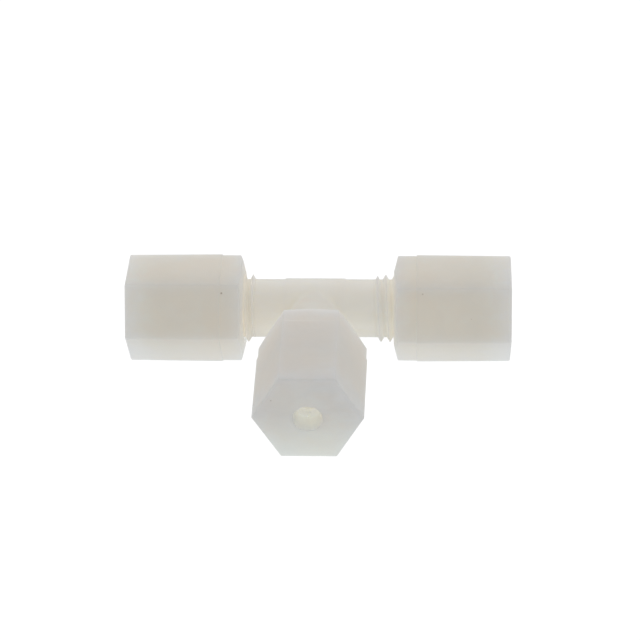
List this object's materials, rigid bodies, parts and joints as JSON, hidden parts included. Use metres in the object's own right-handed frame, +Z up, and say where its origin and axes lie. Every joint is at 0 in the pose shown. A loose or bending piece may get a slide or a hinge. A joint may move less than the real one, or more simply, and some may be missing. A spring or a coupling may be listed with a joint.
{
  "type": "compression fitting",
  "caption": "Union tee compression fitting for small tube: a moulded tee body whose threaded legs carry hex nuts, each holding a split gripper and a conical sleeve.",
  "frame": {"origin": "where the run axis and the branch axis cross, at the middle of the flow bores", "axes": "+X along the run towards the right port, -Y along the branch towards its port, +Z up with the fitting lying on the flats of its nuts"},
  "size_m": [0.0452, 0.0278, 0.0114],
  "materials": {
    "tee_plastic": "natural translucent polypropylene, satin moulded",
    "nut_plastic": "natural translucent polypropylene, satin moulded",
    "gripper_plastic": "natural white acetal, satin",
    "sleeve_plastic": "natural translucent polypropylene, satin moulded"
  },
  "bodies": {
    "tee": {"tee_body": "tee_plastic"},
    "insert_left": {"gripper_left": "gripper_plastic", "sleeve_left": "sleeve_plastic"},
    "nut_left": {"nut_left": "nut_plastic"},
    "insert_right": {"gripper_right": "gripper_plastic", "sleeve_right": "sleeve_plastic"},
    "nut_right": {"nut_right": "nut_plastic"},
    "insert_branch": {"gripper_branch": "gripper_plastic", "sleeve_branch": "sleeve_plastic"},
    "nut_branch": {"nut_branch": "nut_plastic"}
  },
  "joints": [
    {"name": "insert_left_travel", "type": "slide", "parent": "tee", "child": "insert_left", "axis": [-1, 0, 0], "range_m": [-0.001, 0.00667]},
    {"name": "nut_left_turn", "type": "hinge", "parent": "insert_left", "child": "nut_left", "pos_m": [-0.00885, 0, 0], "axis": [-1, 0, 0], "range_deg": [-341, 2270]},
    {"name": "insert_right_travel", "type": "slide", "parent": "tee", "child": "insert_right", "axis": [1, 0, 0], "range_m": [-0.00197, 0.0057]},
    {"name": "nut_right_turn", "type": "hinge", "parent": "insert_right", "child": "nut_right", "pos_m": [0.00982, 0, 0], "axis": [1, 0, 0], "range_deg": [-671, 1940]},
    {"name": "insert_branch_travel", "type": "slide", "parent": "tee", "child": "insert_branch", "axis": [0, -1, 0], "range_m": [-0.00028, 0.00739]},
    {"name": "nut_branch_turn", "type": "hinge", "parent": "insert_branch", "child": "nut_branch", "pos_m": [0, -0.00813, 0], "axis": [0, -1, 0], "range_deg": [-96, 2515]}
  ],
  "couplings": [
    {"joint": "nut_left_turn", "follows": "insert_left_travel", "rad_per_m": 5937.1},
    {"joint": "nut_right_turn", "follows": "insert_right_travel", "rad_per_m": 5937.1},
    {"joint": "nut_branch_turn", "follows": "insert_branch_travel", "rad_per_m": 5937.1}
  ]
}
